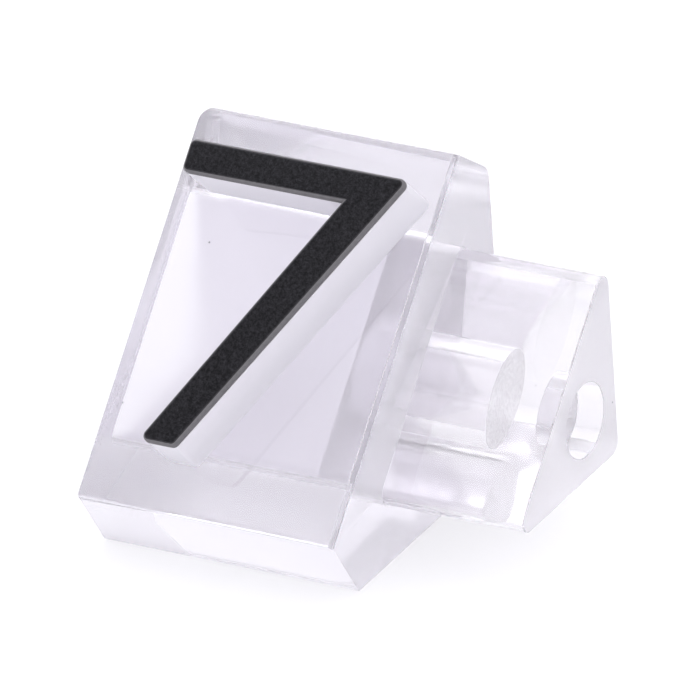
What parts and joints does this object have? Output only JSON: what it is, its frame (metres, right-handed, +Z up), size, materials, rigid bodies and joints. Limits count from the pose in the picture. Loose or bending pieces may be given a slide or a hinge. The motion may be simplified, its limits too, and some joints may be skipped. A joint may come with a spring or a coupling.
{
  "type": "table number holder",
  "caption": "Clear acrylic table number block with a raised black numeral on its sloping face and a sliding triangular connector in its through channel.",
  "frame": {"origin": "centre of the flat face that the block rests on", "axes": "+Z up, +X along the channel towards the side the connector sticks out of, +Y to the back; the numeral faces -Y and up"},
  "size_m": [0.0509, 0.0414, 0.0428],
  "materials": {
    "sleeve_acrylic": "clear polished acrylic",
    "connector_acrylic": "clear polished acrylic with sawn ends",
    "riser_white": "milky satin acrylic",
    "bond_film": "thin clear bonding film",
    "plate_black": "fine matte grain, glossy edges"
  },
  "bodies": {
    "block": {"number_sleeve": "sleeve_acrylic", "riser_film": "bond_film", "numeral_riser": "riser_white", "plate_film": "bond_film", "numeral_plate": "plate_black"},
    "connector": {"connector_prism": "connector_acrylic"}
  },
  "joints": [
    {"name": "connector_slide", "type": "slide", "parent": "block", "child": "connector", "axis": [1, 0, 0], "range_m": [-0.0259, 0.007]}
  ]
}
